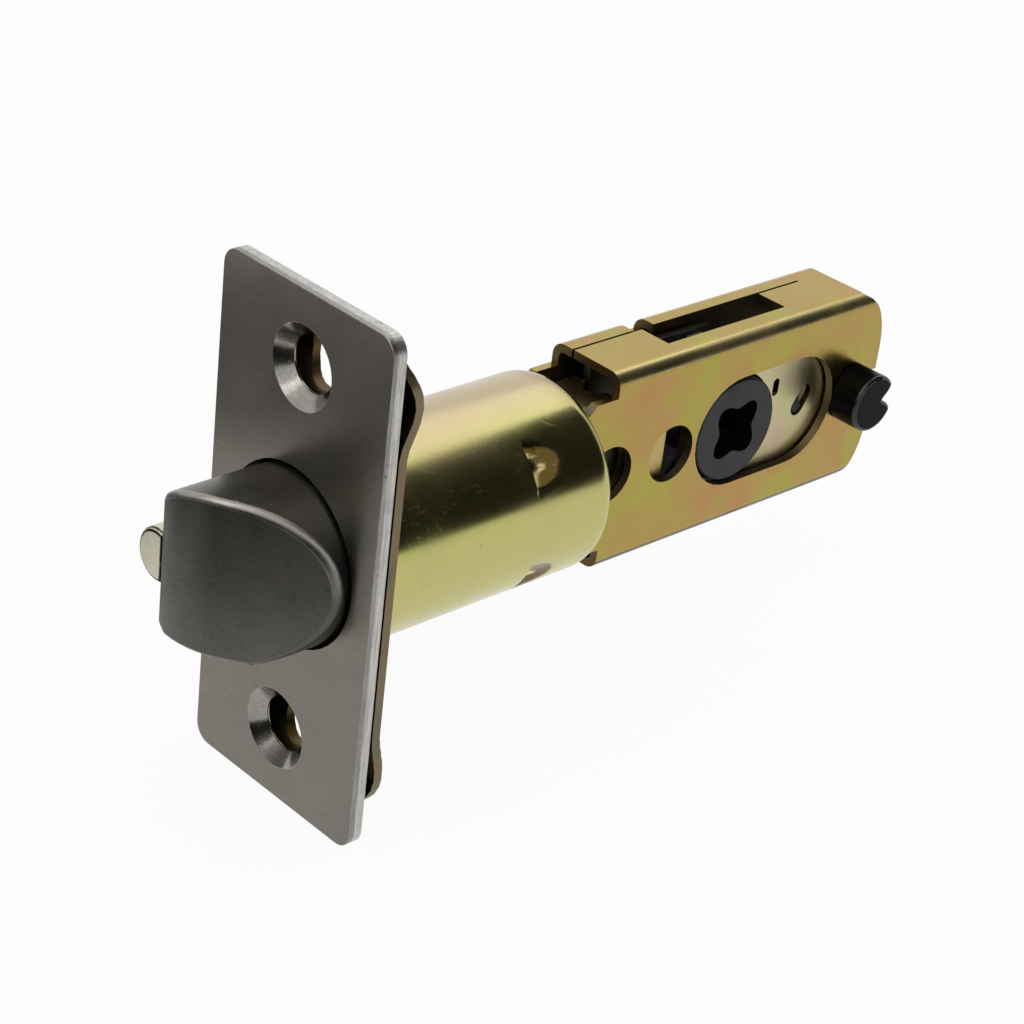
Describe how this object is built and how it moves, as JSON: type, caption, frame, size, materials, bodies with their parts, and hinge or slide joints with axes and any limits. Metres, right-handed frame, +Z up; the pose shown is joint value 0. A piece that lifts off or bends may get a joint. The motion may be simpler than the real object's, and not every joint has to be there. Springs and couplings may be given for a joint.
{
  "type": "adjustable tubular latch",
  "caption": "Tubular door latch with a bevelled spring bolt, deadlatch plunger, yellow zinc barrel and a sliding hub carriage for two backsets.",
  "frame": {"origin": "on the axis of the bolt at the front face of the faceplate", "axes": "+Y runs into the door along the bolt, +Z up the faceplate, +X towards the near face of the door"},
  "size_m": [0.0254, 0.095, 0.0572],
  "materials": {
    "etched_face_steel": "dark etched face with pale worn edges",
    "pale_zinc_sheet": "pale zinc plate",
    "yellow_zinc_tube": "iridescent yellow zinc plate, finely scratched",
    "zinc_seat": "yellow zinc plate",
    "cream_zinc_channel": "pale yellow zinc plate",
    "tan_zinc_case": "iridescent tan zinc plate with orange and green patches",
    "dark_bolt": "dark cast metal, satin",
    "bar_steel": "plain steel",
    "pin_steel": "plain steel",
    "spring_wire": "spring steel wire",
    "plunger_steel": "pale turned steel",
    "carriage_zinc": "pale zinc plate",
    "black_plastic": "moulded black, satin gloss",
    "dark_hub": "dark sintered metal"
  },
  "bodies": {
    "housing": {"faceplate": "etched_face_steel", "backing_plate": "pale_zinc_sheet", "barrel": "yellow_zinc_tube", "spring_seat": "zinc_seat", "inner_frame": "cream_zinc_channel", "outer_case": "tan_zinc_case", "bolt_spring": "spring_wire", "plunger_spring": "spring_wire"},
    "bolt": {"latch_bolt": "dark_bolt", "drawbar": "bar_steel", "drawbar_pin": "pin_steel"},
    "plunger": {"deadlatch_plunger": "plunger_steel", "deadlatch_bar": "bar_steel"},
    "carriage": {"carriage_plate_near": "carriage_zinc", "carriage_plate_far": "carriage_zinc", "carriage_pin_middle": "pin_steel", "carriage_pin_top": "pin_steel", "carriage_pin_bottom": "pin_steel", "adjuster_knob": "black_plastic"},
    "hub": {"hub": "dark_hub"},
    "yoke": {"yoke_strap_near": "bar_steel", "yoke_strap_far": "bar_steel", "yoke_bar_top": "pin_steel", "yoke_bar_bottom": "pin_steel"}
  },
  "joints": [
    {"name": "bolt_slide", "type": "slide", "parent": "housing", "child": "bolt", "axis": [0, 1, 0], "range_m": [0, 0.011], "stiffness_N_per_m": 450, "springref_m": -0.007, "deforming": ["bolt_spring"]},
    {"name": "plunger_slide", "type": "slide", "parent": "housing", "child": "plunger", "axis": [0, 1, 0], "range_m": [0, 0.0095], "stiffness_N_per_m": 250, "springref_m": -0.005, "deforming": ["plunger_spring"]},
    {"name": "backset_slide", "type": "slide", "parent": "housing", "child": "carriage", "axis": [0, 1, 0], "range_m": [0, 0.0095]},
    {"name": "hub_turn", "type": "hinge", "parent": "carriage", "child": "hub", "pos_m": [0, 0.06, 0], "axis": [-1, 0, 0], "range_deg": [0, 82.1]},
    {"name": "yoke_slide", "type": "slide", "parent": "carriage", "child": "yoke", "axis": [0, 1, 0], "range_m": [0, 0.011]}
  ],
  "couplings": [
    {"joint": "hub_turn", "follows": "bolt_slide", "rad_per_m": 130.1},
    {"joint": "yoke_slide", "follows": "bolt_slide", "ratio": 1}
  ]
}
